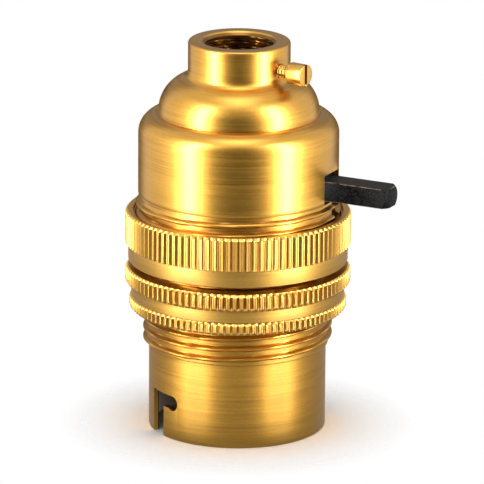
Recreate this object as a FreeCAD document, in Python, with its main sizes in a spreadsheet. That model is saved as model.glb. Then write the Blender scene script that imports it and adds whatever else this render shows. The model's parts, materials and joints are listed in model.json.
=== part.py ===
"""Brass bayonet lamp holder with a push bar switch.

Millimetres. Z is the holder's axis, pointing up to the neck; the origin is the centre of the skirt's rim.
The push bar slides along X.
"""
import FreeCAD
import Part
import Sketcher
import math
import os

SIZES = {
    # skirt
    "skirt_radius": 13.4,
    "skirt_wall": 0.8,
    "skirt_plain_height": 13.0,
    "rim_chamfer": 0.25,
    "shade_thread_crest": 14.3,
    "thread_depth": 0.6,
    "thread_pitch": 1.6,
    "flange_radius": 15.2,
    "flange_thickness": 0.8,
    # bayonet slots
    "slot_entry_width": 3.1,
    "slot_entry_angle": -125.5,
    "slot_turn": 15.3,
    "slot_floor": 4.5,
    "slot_height": 2.3,
    "slot_hump": 0.3,
    # rings
    "ring_clearance": 0.1,
    "knurl_teeth": 100,
    "knurl_depth": 0.38,
    "lower_ring_bottom": 18.55,
    "lower_ring_height": 1.8,
    "lower_ring_wall": 2.0,
    "knurl_chamfer": 0.15,
    "ring_gap": 0.05,
    "shade_band_height": 1.95,
    "shade_band_wall": 1.7,
    "upper_ring_height": 4.6,
    "upper_ring_chamfer": 0.35,
    "union_bottom": 26.0,
    "union_lip": 1.2,
    "union_lip_clearance": 0.3,
    "union_band_height": 2.6,
    "union_band_step": 0.42,
    "union_height": 7.7,
    "union_rim": 1.2,
    "union_chamfer": 0.4,
    "union_mouth_clearance": 0.35,
    "union_mouth_depth": 0.5,
    # cap
    "cap_radius": 15.1,
    "cap_wall": 0.9,
    "collar_crest": 15.45,
    "collar_thread_depth": 0.55,
    "cap_edge_height": 36.35,
    "dome_foot_height": 48.65,
    "dome_foot_radius": 12.1,
    "dome_rise": 0.35,
    "dome_radius": 5.5,
    "neck_fillet": 1.3,
    "neck_radius": 7.68,
    "neck_top": 59.8,
    "neck_round": 0.4,
    "entry_radius": 5.15,
    "entry_countersink": 0.55,
    # bar slots in the cap
    "bar_slot_width": 5.0,
    "bar_slot_top": 40.4,
    "collar_notch_clearance": 0.15,
    # push bar
    "bar_width": 4.1,
    "bar_depth": 3.0,
    "bar_bottom": 37.0,
    "bar_reach": 25.1,
    "bar_tail": 15.3,
    "bar_offset": 1.2,
    "bar_travel": 8.0,
    "bar_tip_chamfer": 0.7,
    "bar_clearance": 0.15,
    "lug_width": 5.2,
    "lug_length": 10.0,
    "lug_stop_gap": 0.2,
    # mouldings
    "moulding_clearance": 0.3,
    "block_bottom": 14.0,
    "block_flange": 1.2,
    "switch_body_top": 44.6,
    "rail_inner": 9.7,
    "rail_length": 3.0,
    "rail_clearance": 0.1,
    # rocker
    "rocker_height": 28.5,
    "rocker_width": 1.6,
    "rocker_lever": 9.6,
    "rocker_lever_width": 1.0,
    "rocker_foot": 4.0,
    "rocker_tip_radius": 0.7,
    "rocker_hub_radius": 1.6,
    "rocker_notch_clearance": 0.35,
    "rocker_pin_radius": 0.6,
    "rocker_pin_length": 6.8,
    "pin_clearance": 0.05,
    "well_length": 10.0,
    "well_width": 3.2,
    "well_floor": 23.0,
    "contact_gap": 0.3,
    "leaf_rise": 0.45,
    "leaf_width": 2.4,
    "leaf_length": 9.2,
    "leaf_thickness": 0.25,
    # strips
    "strip_thickness": 0.5,
    "strip_width": 1.2,
    "strip_clearance": 0.1,
    "fixed_contact_depth": 5.0,
    "pivot_strip_left": 6.9,
    "pivot_strip_side": 2.7,
    # plungers
    "plunger_pitch_radius": 5.5,
    "plunger_angle": -22.0,
    "plunger_radius": 2.1,
    "plunger_tip": 9.8,
    "plunger_nose_round": 0.7,
    "plunger_collar_radius": 2.5,
    "plunger_collar_height": 1.2,
    "plunger_clearance": 0.05,
    "tube_radius": 3.0,
    "tube_top": 22.0,
    "tube_cover": 0.8,
    "tube_lip": 0.6,
    "tube_lip_clearance": 0.1,
    "tube_fit": 0.02,
    "plunger_stop_gap": 0.2,
    "spring_wire": 0.35,
    "spring_radius": 1.9,
    "spring_turns": 4,
    # terminals
    "terminal_across": 4.2,
    "terminal_out": 5.8,
    "terminal_length": 4.4,
    "terminal_width": 4.0,
    "terminal_height": 5.0,
    "stem_radius": 0.8,
    "stem_out": 5.0,
    "stem_clearance": 0.1,
    "wire_hole_radius": 1.1,
    "wire_hole_height": 1.9,
    "terminal_screw_radius": 1.0,
    "terminal_head_radius": 1.5,
    "terminal_head_height": 1.0,
    "screw_clearance": 0.05,
    "screw_slot_width": 0.5,
    "screw_slot_depth": 0.5,
    # body screws
    "body_screw_across": 7.2,
    "body_screw_out": 5.4,
    "body_screw_radius": 1.0,
    "body_screw_length": 22.0,
    "body_head_radius": 1.8,
    "body_head_height": 1.2,
    # earth terminal
    "earth_bottom": 47.0,
    "earth_height": 3.6,
    "earth_length": 3.7,
    "earth_width": 3.2,
    "earth_wall_gap": 0.6,
    "earth_stud_radius": 0.7,
    "earth_stud_gap": 0.05,
    "earth_hole_radius": 0.9,
    "earth_screw_radius": 0.8,
    "earth_head_radius": 1.3,
    "earth_head_height": 0.9,
    # neck lock screw
    "lock_screw_height": 56.3,
    "lock_screw_angle": -10.2,
    "lock_screw_radius": 1.0,
    "lock_screw_tip": 5.45,
    "lock_head_start": 10.4,
    "lock_head_length": 2.0,
    "lock_head_radius": 1.65,
    "lock_slot_width": 0.6,
    "lock_slot_depth": 0.6,
}

# signs of the two sides, and formulas that more than one piece uses
SIDES = {"left": "-1", "right": "1"}
LIP_TOP = "( union_bottom + union_lip )"
FLANGE_TOP = "( union_bottom + union_lip + flange_thickness )"
CAP_BOTTOM = "( union_bottom + union_lip + flange_thickness + block_flange )"
UNION_TOP = "( union_bottom + union_height )"
BORE = "( skirt_radius - skirt_wall )"
CAP_BORE = "( cap_radius - cap_wall )"
RING_BORE = "( shade_thread_crest + ring_clearance )"
LOWER_CREST = f"( {RING_BORE} + lower_ring_wall )"
UNION_MOUTH = "( collar_crest + union_mouth_clearance )"
UNION_CREST = f"( {UNION_MOUTH} + union_rim )"
UNION_BAND = f"( {UNION_CREST} - union_band_step )"
PLUNGER_X = "( plunger_pitch_radius * cos( plunger_angle ) )"
PLUNGER_Y = "( plunger_pitch_radius * sin( plunger_angle ) )"
PIN_BOTTOM = "( rocker_height - rocker_pin_radius )"
FIXED_TOP = f"( {CAP_BOTTOM} - strip_clearance * 2 )"
BLADE_FACE = "( contact_gap + rocker_tip_radius + rocker_foot * bar_travel / 2 / rocker_lever )"
STOP_HEIGHT = "( block_bottom + tube_lip + plunger_stop_gap )"
COLLAR_TOP = f"( {STOP_HEIGHT} + plunger_collar_height )"
TUBE_CEILING = "( tube_top - tube_cover )"
HELIX_SEGMENT = 0.5

doc = FreeCAD.newDocument("lamp_holder")
sheet = doc.addObject("Spreadsheet::Sheet", "Sizes")
for row, (alias, number) in enumerate(SIZES.items(), start=1):
    sheet.set(f"A{row}", str(number))
    sheet.setAlias(f"A{row}", alias)
doc.recompute()

parts = []


def formula(text):
    """The text with each size's alias written as a cell of the sheet."""
    words = []
    for word in text.replace("(", "( ").replace(")", " )").split():
        words.append(f"Sizes.{word}" if word in SIZES else word)
    return " ".join(words)


def value(text):
    """The number that a formula of sizes gives."""
    return float(sheet.evalExpression(formula(text)))


def bind(item, **sizes):
    """Bind each named property of an object to a formula of sizes."""
    for name, text in sizes.items():
        item.setExpression(name, formula(text))
    return item


def place(item, x="0", y="0", z="0"):
    """Bind the position of an object to formulas of sizes."""
    item.setExpression("Placement.Base.x", formula(x))
    item.setExpression("Placement.Base.y", formula(y))
    item.setExpression("Placement.Base.z", formula(z))
    return item


def turn(item, angle):
    """Turn an object about its own Z by a formula in degrees."""
    item.setExpression("Placement.Rotation.Angle", formula(angle))
    return item


def aim(item, axis, angle, x="0", y="0", z="0"):
    """Turn an object about any axis through its own origin, which moves to a point given by formulas."""
    base = FreeCAD.Vector(value(x), value(y), value(z))
    item.Placement = FreeCAD.Placement(base, FreeCAD.Rotation(FreeCAD.Vector(*axis), value(angle)))
    return item


def aim_outwards(item, angle, height):
    """Lay an object that stands on Z along a line from the holder's axis outwards."""
    upright = FreeCAD.Rotation(FreeCAD.Vector(0, 1, 0), 90)
    heading = FreeCAD.Rotation(FreeCAD.Vector(0, 0, 1), value(angle))
    item.Placement = FreeCAD.Placement(FreeCAD.Vector(0, 0, value(height)), heading.multiply(upright))
    return item


def rod(name, radius, length):
    """A cylinder that stands at the origin, to be laid where it belongs."""
    return bind(doc.addObject("Part::Cylinder", name), Radius=radius, Height=length)


def cylinder(name, radius, height, z="0", x="0", y="0"):
    return place(rod(name, radius, height), x, y, z)


def cone(name, lower, upper, height, z="0", x="0", y="0"):
    item = doc.addObject("Part::Cone", name)
    bind(item, Radius1=lower, Radius2=upper, Height=height)
    return place(item, x, y, z)


def block(name, x_low, x_high, y_low, y_high, z_low, z_high):
    """A box between two corners, each coordinate a formula."""
    item = doc.addObject("Part::Box", name)
    bind(item, Length=f"( {x_high} ) - ( {x_low} )", Width=f"( {y_high} ) - ( {y_low} )",
         Height=f"( {z_high} ) - ( {z_low} )")
    return place(item, x_low, y_low, z_low)


def fuse(name, *items):
    item = doc.addObject("Part::MultiFuse", name)
    item.Shapes = list(items)
    return item


def cut(name, base, *tools):
    """The base with every tool taken out of it."""
    item = doc.addObject("Part::Cut", name)
    item.Base = base
    item.Tool = tools[0] if len(tools) == 1 else fuse(f"{name}_tools", *tools)
    return item


def finish(node, item):
    """Name an object as one of the holder's pieces."""
    item.Label = node
    parts.append((node, item))
    return item


def turned(name, corners):
    """A body turned about Z from the corners of a closed half section, each a radius and a height."""
    body = doc.addObject("PartDesign::Body", name)
    plane = next(item for item in body.Origin.OriginFeatures if item.Role == "XZ_Plane")
    sketch = body.newObject("Sketcher::SketchObject", f"{name}_section")
    sketch.AttachmentSupport = [(plane, "")]
    sketch.MapMode = "FlatFace"
    draw(sketch, corners)
    revolution = body.newObject("PartDesign::Revolution", f"{name}_turning")
    revolution.Profile = sketch
    revolution.ReferenceAxis = (sketch, ["V_Axis"])
    revolution.Angle = 360
    return body


def draw(sketch, corners):
    """Draw a closed outline whose corners are formulas of x and y.

    A corner's third entry is the radius of the arc that leads to it from the corner before, positive where the
    arc bulges to the left of its way.
    """
    points = [FreeCAD.Vector(value(corner[0]), value(corner[1]), 0) for corner in corners]
    ends = []
    for index, corner in enumerate(corners):
        start, end = points[index - 1], points[index]
        if len(corner) == 3:
            side, numbers = arc_side(start, end, value(corner[2]))
        else:
            side, numbers = Part.LineSegment(start, end), (1, 2)
        sketch.addGeometry(side, False)
        ends.append(numbers)
    for index, corner in enumerate(corners):
        following = (index + 1) % len(corners)
        joint = Sketcher.Constraint("Coincident", index, ends[index][1], following, ends[following][0])
        sketch.addConstraint(joint)
        for kind, text in (("DistanceX", corner[0]), ("DistanceY", corner[1])):
            pin_down(sketch, index, ends[index][1], kind, text)
        if len(corner) == 3:
            number = sketch.addConstraint(Sketcher.Constraint("Radius", index, abs(value(corner[2]))))
            sketch.setExpression(f"Constraints[{number}]", formula(f"abs( {corner[2]} )"))


def arc_side(start, end, radius):
    """An arc from start to end, with the numbers of its start and end points in a sketch."""
    chord = end - start
    left = FreeCAD.Vector(-chord.y, chord.x, 0).normalize()
    rise = math.sqrt(radius * radius - chord.Length * chord.Length / 4)
    sign = 1 if radius > 0 else -1
    centre = (start + end) * 0.5 - left * (rise * sign)
    first = math.atan2(start.y - centre.y, start.x - centre.x)
    last = math.atan2(end.y - centre.y, end.x - centre.x)
    circle = Part.Circle(centre, FreeCAD.Vector(0, 0, 1), abs(radius))
    if radius > 0:
        return Part.ArcOfCircle(circle, last, first), (2, 1)
    return Part.ArcOfCircle(circle, first, last), (1, 2)


def pin_down(sketch, side, end, kind, text):
    """Fix one coordinate of a sketch point to a formula."""
    number = sketch.addConstraint(Sketcher.Constraint(kind, -1, 1, side, end, value(text)))
    sketch.setExpression(f"Constraints[{number}]", formula(text))


def thread_ridges(low, high, crest, depth):
    """Corners of the thread's ridges from low up to high, on the outside of a turned piece."""
    count = int((value(high) - value(low)) / value("thread_pitch"))
    corners = []
    for ridge in range(count):
        foot = f"{low} + {ridge} * thread_pitch"
        for share, radius in ((0.1, f"{crest} - {depth}"), (0.4, crest), (0.6, crest),
                              (0.9, f"{crest} - {depth}")):
            corners.append((radius, f"{foot} + {share} * thread_pitch"))
    return corners


def knurled(name, blank, crest, low, high):
    """The turned blank with straight V teeth cut round its outside, down to just above its plain band."""
    teeth = doc.addObject("Part::Feature", f"{name}_teeth")
    teeth.Shape = Part.Face(tooth_outline(value(crest))).extrude(FreeCAD.Vector(0, 0,
                                                                                value(f"{high} - {low}")))
    teeth.Placement.Base.z = value(low)
    ring = doc.addObject("Part::MultiCommon", f"{name}_knurled")
    ring.Shapes = [blank, teeth]
    return ring


def tooth_outline(crest):
    """Closed outline of the knurl's teeth, a crest and a root in turn."""
    count = int(value("knurl_teeth"))
    corners = []
    for step in range(2 * count):
        angle = math.pi * step / count
        reach = crest - (step % 2) * value("knurl_depth")
        corners.append(FreeCAD.Vector(reach * math.cos(angle), reach * math.sin(angle), 0))
    return Part.makePolygon(corners + corners[:1])


def make_skirt():
    """Sleeve with a rolled thread, a clamping flange and two bayonet slots."""
    root = "shade_thread_crest - thread_depth"
    shell = turned("skirt_shell", [
        (BORE, "0"),
        ("skirt_radius - rim_chamfer", "0"),
        ("skirt_radius", "rim_chamfer"),
        ("skirt_radius", "skirt_plain_height"),
        (root, "skirt_plain_height + 0.05 * thread_pitch"),
        *thread_ridges("skirt_plain_height", LIP_TOP, "shade_thread_crest", "thread_depth"),
        (root, LIP_TOP),
        ("flange_radius", LIP_TOP),
        ("flange_radius", FLANGE_TOP),
        (BORE, FLANGE_TOP),
    ])
    slots = [bayonet_slot("near_slot", "0"), bayonet_slot("far_slot", "180")]
    finish("skirt", cut("skirt_cut", shell, *slots))


def bayonet_slot(name, half_turn):
    """Punch for one slot: up from the rim, along, and down over a hump into a round seat for the lamp's pin."""
    top = "( slot_floor + slot_height )"
    sill = "( slot_floor + slot_hump )"
    offset = "( skirt_radius * sin( slot_turn / 2 ) )"
    seat_radius = "( slot_height / 2 )"
    lip = f"sqrt( {seat_radius} ^ 2 - ( {seat_radius} - slot_hump ) ^ 2 )"
    outline = doc.addObject("Sketcher::SketchObject", f"{name}_outline")
    draw(outline, [
        (f"0 - {offset} - slot_entry_width / 2", "0 - rim_chamfer"),
        (f"slot_entry_width / 2 - {offset}", "0 - rim_chamfer"),
        (f"slot_entry_width / 2 - {offset}", sill),
        (f"{offset} - {lip}", sill),
        (offset, "slot_floor", f"0 - {seat_radius}"),
        (f"{offset} + {seat_radius}", f"slot_floor + {seat_radius}", f"0 - {seat_radius}"),
        (offset, top, f"0 - {seat_radius}"),
        (f"0 - {offset} - slot_entry_width / 2", top),
    ])
    facing_out = FreeCAD.Rotation(FreeCAD.Vector(1, 1, 1), 120)
    heading = FreeCAD.Rotation(FreeCAD.Vector(0, 0, 1),
                               value(f"slot_entry_angle + slot_turn / 2 + {half_turn}"))
    outline.Placement = FreeCAD.Placement(FreeCAD.Vector(0, 0, 0), heading.multiply(facing_out))
    punch = doc.addObject("Part::Extrusion", name)
    punch.Base = outline
    punch.DirMode = "Normal"
    punch.Solid = True
    return bind(punch, LengthFwd="flange_radius")


def make_lower_shade_ring():
    low = "lower_ring_bottom"
    high = "( lower_ring_bottom + lower_ring_height )"
    blank = turned("lower_ring_blank", [
        (RING_BORE, low),
        (f"{LOWER_CREST} - knurl_chamfer", low),
        (LOWER_CREST, f"{low} + knurl_chamfer"),
        (LOWER_CREST, f"{high} - knurl_chamfer"),
        (f"{LOWER_CREST} - knurl_chamfer", high),
        (RING_BORE, high),
    ])
    finish("lower_shade_ring", knurled("lower_ring", blank, LOWER_CREST, low, high))


def make_upper_shade_ring():
    """Plain band below and a knurl above as wide as the union ring's, its teeth chamfered most at the top."""
    band = f"( {RING_BORE} + shade_band_wall )"
    low = "( lower_ring_bottom + lower_ring_height + ring_gap )"
    band_top = f"( {low} + shade_band_height )"
    high = f"( {low} + upper_ring_height )"
    blank = turned("upper_ring_blank", [
        (RING_BORE, low),
        (band, low),
        (band, band_top),
        (f"{UNION_CREST} - knurl_depth - knurl_chamfer", band_top),
        (UNION_CREST, f"{band_top} + knurl_chamfer"),
        (UNION_CREST, f"{high} - upper_ring_chamfer"),
        (f"{UNION_CREST} - upper_ring_chamfer", high),
        (RING_BORE, high),
    ])
    finish("upper_shade_ring", knurled("upper_ring", blank, UNION_CREST, low, high))


def make_union_ring():
    """Ring whose lip lifts the skirt's flange and whose bore runs on the cap's collar."""
    band_top = "( union_bottom + union_band_height )"
    blank = turned("union_blank", [
        ("shade_thread_crest + union_lip_clearance", "union_bottom"),
        (f"{UNION_BAND} - knurl_chamfer", "union_bottom"),
        (UNION_BAND, "union_bottom + knurl_chamfer"),
        (UNION_BAND, band_top),
        (UNION_CREST, f"{band_top} + knurl_chamfer"),
        (UNION_CREST, f"{UNION_TOP} - union_chamfer"),
        (f"{UNION_CREST} - union_chamfer", UNION_TOP),
        (UNION_MOUTH, UNION_TOP),
        (UNION_MOUTH, f"{UNION_TOP} - union_mouth_depth"),
        ("collar_crest + ring_clearance", f"{UNION_TOP} - union_mouth_depth"),
        ("collar_crest + ring_clearance", LIP_TOP),
        ("shade_thread_crest + union_lip_clearance", LIP_TOP),
    ])
    finish("union_ring", knurled("union", blank, UNION_CREST, "union_bottom", UNION_TOP))


def make_cap():
    """Neck, dome, shoulder, straight wall and threaded collar in one shell."""
    shoulder = "( cap_radius - dome_foot_radius )"
    dome_start = "( dome_foot_height + dome_rise )"
    dome_axis = "( dome_foot_radius - dome_radius )"
    fillet_axis = "( neck_radius + neck_fillet )"
    reach = "( dome_radius + neck_fillet )"
    climb = f"sqrt( {reach} ^ 2 - ( {fillet_axis} - {dome_axis} ) ^ 2 )"
    fillet_height = f"( {dome_start} + {climb} )"
    join_radius = f"{dome_axis} + ( {fillet_axis} - {dome_axis} ) * dome_radius / {reach}"
    join_height = f"{dome_start} + {climb} * dome_radius / {reach}"
    inner_dome = "( dome_radius - cap_wall )"
    root = "( collar_crest - collar_thread_depth )"
    shell = turned("cap_shell", [
        (CAP_BORE, CAP_BOTTOM),
        (root, CAP_BOTTOM),
        *thread_ridges(CAP_BOTTOM, "cap_edge_height", "collar_crest", "collar_thread_depth"),
        (root, "cap_edge_height"),
        ("cap_radius", "cap_edge_height"),
        ("cap_radius", f"dome_foot_height - {shoulder}"),
        ("dome_foot_radius", "dome_foot_height", f"0 - {shoulder}"),
        ("dome_foot_radius", dome_start),
        (join_radius, join_height, "0 - dome_radius"),
        ("neck_radius", fillet_height, "neck_fillet"),
        ("neck_radius", "neck_top - neck_round"),
        ("neck_radius - neck_round", "neck_top", "0 - neck_round"),
        ("entry_radius + entry_countersink", "neck_top"),
        ("entry_radius", "neck_top - entry_countersink"),
        ("entry_radius", f"{dome_start} + {inner_dome}"),
        (dome_axis, f"{dome_start} + {inner_dome}"),
        ("dome_foot_radius - cap_wall", dome_start, inner_dome),
        ("dome_foot_radius - cap_wall", "dome_foot_height - cap_wall"),
        ("dome_foot_radius", "dome_foot_height - cap_wall"),
        (CAP_BORE, f"dome_foot_height - {shoulder}", f"{shoulder} - cap_wall"),
    ])
    window = bar_passage("bar_window", "cap_radius + 1", "bar_slot_width / 2", "cap_edge_height",
                         "bar_slot_top")
    notch = bar_passage("collar_notch", "cap_radius + 1", "( bar_width / 2 + collar_notch_clearance )",
                        f"{CAP_BOTTOM} - 1", "bar_slot_top")
    screw_hole = rod("lock_screw_hole", "lock_screw_radius + screw_clearance", "cap_radius")
    aim_outwards(screw_hole, "lock_screw_angle", "lock_screw_height")
    finish("cap", cut("cap_cut", shell, window, notch, screw_hole))


def bar_passage(name, reach, half_width, low, high):
    """A box along the bar's line, which lies a little to one side of the holder's axis."""
    return block(name, f"0 - ( {reach} )", reach, f"bar_offset - {half_width}",
                 f"bar_offset + {half_width}", low, high)


def make_neck_lock_screw():
    """Cheese-head screw, built along Z from the neck's axis outwards and then laid down."""
    shank = cylinder("lock_shank", "lock_screw_radius", "lock_head_start - lock_screw_tip",
                     "lock_screw_tip")
    head = cylinder("lock_head", "lock_head_radius", "lock_head_length", "lock_head_start")
    head_end = "lock_head_start + lock_head_length"
    slot = block("lock_slot", "0 - lock_head_radius - 1", "lock_head_radius + 1", "0 - lock_slot_width / 2",
                 "lock_slot_width / 2", f"{head_end} - lock_slot_depth", f"{head_end} + 1")
    screw = cut("lock_screw_cut", fuse("lock_screw_solid", shank, head), slot)
    finish("neck_lock_screw", aim_outwards(screw, "lock_screw_angle", "lock_screw_height"))


def make_push_bar():
    """Bar with chamfered tips, two stop lugs in its middle and a notch below for the rocker's tip."""
    top = "( bar_bottom + bar_depth )"
    lug_centre = "( bar_travel / 2 )"
    bar = block("bar_stock", "0 - bar_tail", "bar_reach", "bar_offset - bar_width / 2",
                "bar_offset + bar_width / 2",
                "bar_bottom", top)
    doc.recompute()
    tips = doc.addObject("Part::Chamfer", "bar_tips")
    tips.Base = bar
    size = value("bar_tip_chamfer")
    tips.Edges = [(number, size, size) for number, edge in enumerate(bar.Shape.Edges,
                                                                     start=1) if lies_across(edge)]
    lugs = block("bar_lugs", f"{lug_centre} - lug_length / 2", f"{lug_centre} + lug_length / 2",
                 "bar_offset - lug_width / 2", "bar_offset + lug_width / 2", "bar_bottom", top)
    tip_reach = "( rocker_tip_radius + rocker_notch_clearance )"
    notch = block("bar_notch", f"{lug_centre} - {tip_reach}", f"{lug_centre} + {tip_reach}",
                  "0 - lug_width", "lug_width", "bar_bottom - 1",
                  "rocker_height + rocker_lever + rocker_tip_radius + rail_clearance")
    finish("push_bar", cut("push_bar_cut", fuse("push_bar_solid", tips, lugs), notch))


def lies_across(edge):
    """Whether an edge of the bar belongs to one of its two end faces."""
    return edge.BoundBox.XLength < value("bar_width / 2")


def make_switch_body():
    """Moulding in the cap, open below, with the bar's channel and a wider recess for its lugs."""
    body = cylinder("switch_stock", f"{CAP_BORE} - moulding_clearance", f"switch_body_top - {CAP_BOTTOM}",
                    CAP_BOTTOM)
    channel_half = "( bar_width / 2 + bar_clearance )"
    recess_half = "( lug_width / 2 + bar_clearance )"
    recess_reach = "( ( bar_travel + lug_length ) / 2 + lug_stop_gap )"
    top = "( bar_bottom + bar_depth + bar_clearance )"
    channel = bar_passage("bar_channel", "cap_radius", channel_half, f"{CAP_BOTTOM} - 1", top)
    recess = bar_passage("lug_recess", recess_reach, recess_half, f"{CAP_BOTTOM} - 1", top)
    stems = [stem_hole("switch", side, CAP_BOTTOM, "switch_body_top") for side in SIDES]
    screws = [body_screw_hole("switch", side, CAP_BOTTOM, "switch_body_top") for side in SIDES]
    finish("switch_body", cut("switch_body_cut", body, channel, recess, *stems, *screws))


def stem_hole(moulding, side, low, high):
    """Hole for a terminal's stem, between two heights and a little past them."""
    sign = SIDES[side]
    return cylinder(f"{moulding}_stem_hole_{side}", "stem_radius + stem_clearance", f"{high} - {low} + 2",
                    f"{low} - 1", f"{sign} * terminal_across", f"{sign} * ( 0 - stem_out )")


def body_screw_hole(moulding, side, low, high):
    sign = SIDES[side]
    return cylinder(f"{moulding}_screw_hole_{side}", "body_screw_radius + screw_clearance",
                    f"{high} - {low} + 2",
                    f"{low} - 1", f"{sign} * body_screw_across", f"{sign} * body_screw_out")


def make_contact_block():
    """Moulding in the skirt, with a clamping flange, two rails under the bar and a well for the rocker."""
    barrel = cylinder("block_barrel", f"{BORE} - moulding_clearance", f"{FLANGE_TOP} - block_bottom",
                      "block_bottom")
    flange = cylinder("block_flange_disc", "flange_radius", "block_flange", FLANGE_TOP)
    rails = [bar_rail(side) for side in SIDES]
    well = block("rocker_well", "0 - well_length / 2", "well_length / 2", "0 - well_width / 2",
                 "well_width / 2",
                 "well_floor", f"{CAP_BOTTOM} + 1")
    pin_seat = "( rocker_pin_radius + pin_clearance )"
    pin_slot = block("pin_slot", f"0 - {pin_seat}", pin_seat, "0 - rocker_pin_length / 2 - strip_clearance",
                     "rocker_pin_length / 2 + strip_clearance", f"rocker_height - {pin_seat}",
                     f"{CAP_BOTTOM} + 1")
    bores = [cylinder(f"tube_bore_{side}", "tube_radius + tube_fit", "tube_top - block_bottom + 1",
                      "block_bottom - 1",
                      f"{sign} * {PLUNGER_X}", f"{sign} * {PLUNGER_Y}") for side, sign in SIDES.items()]
    stem = stem_hole("block", "right", "( tube_top + 1 )", CAP_BOTTOM)
    depth = f"( body_screw_length - ( switch_body_top - {CAP_BOTTOM} ) )"
    screws = [body_screw_hole("block", side, f"( {CAP_BOTTOM} - {depth} + 1 )",
                              CAP_BOTTOM) for side in SIDES]
    solid = fuse("block_solid", barrel, flange, *rails)
    finish("contact_block", cut("contact_block_cut", solid, well, pin_slot, *bores, stem, *screws,
                                *strip_grooves()))


def bar_rail(side):
    """Upstand that fills the bar's channel below the bar and keys the two mouldings together."""
    half = "( bar_width / 2 + bar_clearance - rail_clearance )"
    inner, outer = "rail_inner", "( rail_inner + rail_length )"
    if side == "left":
        inner, outer = f"( 0 - {outer} )", f"( 0 - {inner} )"
    return block(f"bar_rail_{side}", inner, outer, f"bar_offset - {half}", f"bar_offset + {half}",
                 FLANGE_TOP,
                 "bar_bottom - rail_clearance")


def strip_grooves():
    """Grooves in the block's top face for the two contact strips."""
    fixed = block("fixed_groove", "0 - terminal_across - stem_radius - strip_clearance",
                  f"strip_clearance - {BLADE_FACE}", "0", "stem_out + stem_radius + strip_clearance",
                  f"{FIXED_TOP} - strip_thickness - strip_clearance", f"{CAP_BOTTOM} + 1")
    near = "pivot_strip_side - strip_width / 2 - strip_clearance"
    far = "pivot_strip_side + strip_width / 2 + strip_clearance"
    along = block("pivot_groove", "0 - pivot_strip_left - strip_clearance",
                  "rocker_pin_radius + strip_clearance",
                  near, far, f"{PIN_BOTTOM} - strip_thickness - strip_clearance", f"{CAP_BOTTOM} + 1")
    down = block("pivot_shaft", "0 - pivot_strip_left - strip_clearance",
                 "0 - pivot_strip_left + strip_thickness + strip_clearance", near, far, "tube_top",
                 f"{CAP_BOTTOM} + 1")
    return [fixed, along, down]


def make_fixed_contact():
    """Blade that the rocker's foot meets, with a tongue that runs out to the left terminal's stem."""
    tongue = block("fixed_tongue", "0 - terminal_across - stem_radius", f"0 - {BLADE_FACE}",
                   "0 - strip_width / 2",
                   "stem_out + stem_radius", f"{FIXED_TOP} - strip_thickness", FIXED_TOP)
    blade = block("fixed_blade", f"0 - {BLADE_FACE} - strip_thickness", f"0 - {BLADE_FACE}",
                  "0 - strip_width / 2",
                  "strip_width / 2", f"{FIXED_TOP} - fixed_contact_depth", FIXED_TOP)
    finish("fixed_contact", fuse("fixed_contact_strip", tongue, blade))


def make_pivot_strip():
    """Strip from under the rocker pin to the top of the left plunger tube."""
    near = "pivot_strip_side - strip_width / 2"
    far = "pivot_strip_side + strip_width / 2"
    along = block("pivot_tongue", "0 - pivot_strip_left", "rocker_pin_radius", near, far,
                  f"{PIN_BOTTOM} - strip_thickness", PIN_BOTTOM)
    leg = block("pivot_leg", "0 - pivot_strip_left", "0 - pivot_strip_left + strip_thickness", near, far,
                "tube_top", PIN_BOTTOM)
    finish("pivot_strip", fuse("pivot_strip_bent", along, leg))


def make_rocker():
    """Lever and foot on a hub, built upright about its pin hole and then tilted to meet the bar's notch."""
    half = "rocker_width / 2"
    lever = block("rocker_lever_arm", "0 - rocker_lever_width / 2", "rocker_lever_width / 2", f"0 - {half}",
                  half,
                  "0", "rocker_lever")
    foot = block("rocker_foot_arm", "0 - rocker_lever_width / 2", "rocker_lever_width / 2", f"0 - {half}",
                 half,
                 "0 - rocker_foot", "0")
    discs = [across("rocker_hub", "rocker_hub_radius", "rocker_width", "0"),
             across("rocker_tip", "rocker_tip_radius", "rocker_width", "rocker_lever"),
             across("rocker_toe", "rocker_tip_radius", "rocker_width", "0 - rocker_foot")]
    hole = across("rocker_pin_hole", "rocker_pin_radius + pin_clearance", "rocker_width + 2", "0")
    rocker = cut("rocker_drilled", fuse("rocker_solid", lever, foot, *discs), hole)
    tilt = "asin( bar_travel / ( 2 * rocker_lever ) )"
    finish("rocker", aim(rocker, (0, 1, 0), tilt, z="rocker_height"))


def across(name, radius, length, height):
    """A cylinder along Y, centred on the XZ plane."""
    return aim(rod(name, radius, length), (1, 0, 0), "-90", y=f"0 - ( {length} ) / 2", z=height)


def make_rocker_pin():
    finish("rocker_pin", across("rocker_pin_rod", "rocker_pin_radius", "rocker_pin_length",
                                "rocker_height"))


def make_snap_leaf():
    """Bowed leaf on the well's floor, its crown under the rocker's foot."""
    half, rise = value("leaf_length / 2"), value("leaf_rise")
    floor, thickness = value("well_floor"), value("leaf_thickness")
    low = Part.Arc(FreeCAD.Vector(-half, 0, floor), FreeCAD.Vector(0, 0, floor + rise - thickness),
                   FreeCAD.Vector(half, 0, floor))
    high = Part.Arc(FreeCAD.Vector(half, 0, floor + thickness), FreeCAD.Vector(0, 0, floor + rise),
                    FreeCAD.Vector(-half, 0, floor + thickness))
    ends = [Part.LineSegment(FreeCAD.Vector(x, 0, floor), FreeCAD.Vector(x, 0,
                                                                         floor + thickness)) for x in (half,
                                                                                                       -half)]
    outline = Part.Wire([low.toShape(), ends[0].toShape(), high.toShape(), ends[1].toShape()])
    leaf = doc.addObject("Part::Feature", "leaf_strip")
    leaf.Shape = Part.Face(outline).extrude(FreeCAD.Vector(0, value("leaf_width"), 0))
    leaf.Placement = FreeCAD.Placement(FreeCAD.Vector(0, value("0 - leaf_width / 2"), 0),
                                       FreeCAD.Rotation())
    finish("snap_leaf", leaf)


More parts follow.
